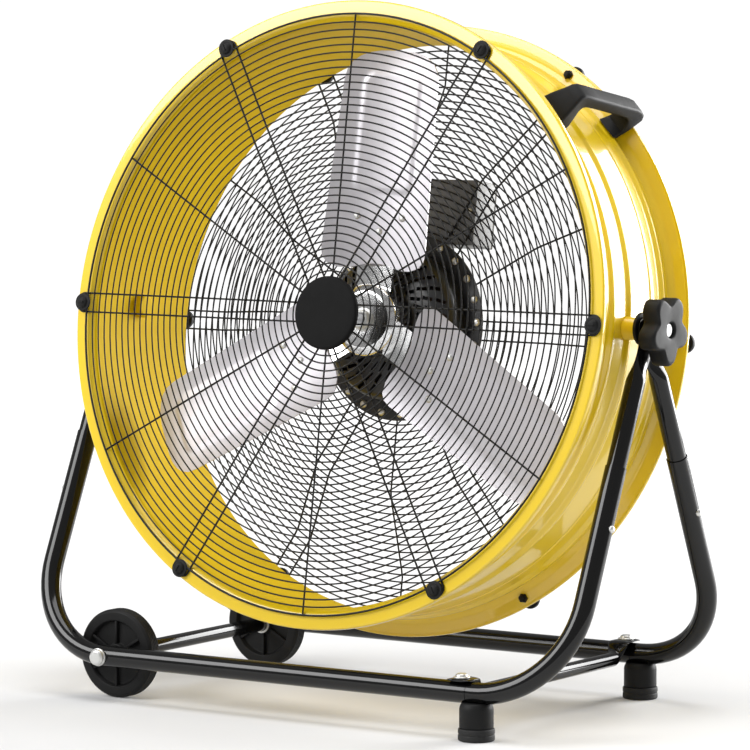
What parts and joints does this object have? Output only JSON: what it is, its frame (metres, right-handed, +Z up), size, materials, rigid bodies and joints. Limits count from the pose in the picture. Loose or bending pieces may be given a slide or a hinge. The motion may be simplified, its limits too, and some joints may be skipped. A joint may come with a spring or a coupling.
{
  "type": "tilting drum fan",
  "caption": "Floor-standing drum fan: a round sheet-metal drum with wire grilles, tilting on a bent-tube stand that rolls on wheels and rests on feet.",
  "frame": {"origin": "on the floor, midway between the legs, straight under the tilt pivot", "axes": "+X to the object's right seen from the front, towards the feet; -Y to the front, where the air leaves; +Z up"},
  "size_m": [0.716, 0.3608, 0.7339],
  "materials": {
    "yellow_enamel": "gloss",
    "tube_enamel": "gloss",
    "zinc_steel": "bright",
    "polished_aluminium": "polished",
    "black_plastic": "matte",
    "black_rubber": "matte",
    "wire_coat": "satin",
    "motor_enamel": "satin",
    "box_enamel": "satin",
    "blade_aluminium": "satin",
    "machined_steel": "machined",
    "stator_copper": "laminated steel and copper winding"
  },
  "bodies": {
    "stand": {"lower_tube_front_left": "tube_enamel", "lower_tube_front_right": "tube_enamel", "lower_tube_rear_left": "tube_enamel", "lower_tube_rear_right": "tube_enamel", "upper_leg_front_left": "tube_enamel", "upper_leg_front_right": "tube_enamel", "upper_leg_rear_left": "tube_enamel", "upper_leg_rear_right": "tube_enamel", "cross_bar": "tube_enamel", "saddle_bolt_front": "zinc_steel", "saddle_bolt_rear": "zinc_steel", "foot_front": "black_plastic", "foot_rear": "black_plastic", "foot_cap_front": "black_rubber", "foot_cap_rear": "black_rubber", "wheel_axle": "zinc_steel", "axle_nut": "zinc_steel", "axle_spacer": "tube_enamel"},
    "wheel_front": {"wheel_front": "black_plastic"},
    "wheel_rear": {"wheel_rear": "black_plastic"},
    "drum": {"drum_shell": "yellow_enamel", "front_grille": "wire_coat", "rear_grille": "wire_coat", "grille_badge": "black_plastic", "grille_bolt_1": "black_plastic", "grille_bolt_2": "black_plastic", "grille_bolt_3": "black_plastic", "grille_bolt_4": "black_plastic", "grille_bolt_5": "black_plastic", "grille_bolt_6": "black_plastic", "carry_handle": "black_plastic", "motor_front_bell": "motor_enamel", "motor_rear_bell": "motor_enamel", "stator": "stator_copper", "bearing_front": "machined_steel", "bearing_rear": "machined_steel", "control_box": "box_enamel", "control_cover": "box_enamel", "speed_switch": "black_plastic", "run_capacitor": "zinc_steel", "conduit_neck": "motor_enamel", "cord_gland": "black_plastic", "pivot_boss_left": "yellow_enamel", "pivot_boss_right": "yellow_enamel", "pivot_disc_left": "black_plastic", "pivot_disc_right": "black_plastic", "pivot_bolt_left": "zinc_steel", "pivot_bolt_right": "zinc_steel"},
    "rotor": {"rotor_shaft": "machined_steel", "blade_hub": "polished_aluminium", "hub_nut": "zinc_steel", "blade_1": "blade_aluminium", "blade_2": "blade_aluminium", "blade_3": "blade_aluminium"},
    "knob_left": {"tilt_knob_left": "black_plastic"},
    "knob_right": {"tilt_knob_right": "black_plastic"},
    "dial": {"speed_dial": "black_plastic"}
  },
  "joints": [
    {"name": "drum_tilt", "type": "hinge", "parent": "stand", "child": "drum", "pos_m": [0, 0, 0.404], "axis": [1, 0, 0], "range_deg": [-18, 31]},
    {"name": "fan_spin", "type": "hinge", "parent": "drum", "child": "rotor", "pos_m": [0, -0.00079, 0.39906], "axis": [0, 0.9874, -0.158], "continuous": true},
    {"name": "wheel_front_spin", "type": "hinge", "parent": "stand", "child": "wheel_front", "pos_m": [-0.232, -0.135, 0.04701], "axis": [0, 1, 0], "continuous": true},
    {"name": "wheel_rear_spin", "type": "hinge", "parent": "stand", "child": "wheel_rear", "pos_m": [-0.232, 0.135, 0.04701], "axis": [0, 1, 0], "continuous": true},
    {"name": "knob_left_turn", "type": "hinge", "parent": "drum", "child": "knob_left", "pos_m": [-0.3465, 0, 0.404], "axis": [-1, 0, 0], "range_deg": [0, 540]},
    {"name": "knob_right_turn", "type": "hinge", "parent": "drum", "child": "knob_right", "pos_m": [0.3465, 0, 0.404], "axis": [1, 0, 0], "range_deg": [0, 540]},
    {"name": "speed_dial_turn", "type": "hinge", "parent": "drum", "child": "dial", "pos_m": [0.032, 0.12773, 0.5061], "axis": [0, 0.9874, -0.158], "range_deg": [0, 270]}
  ]
}
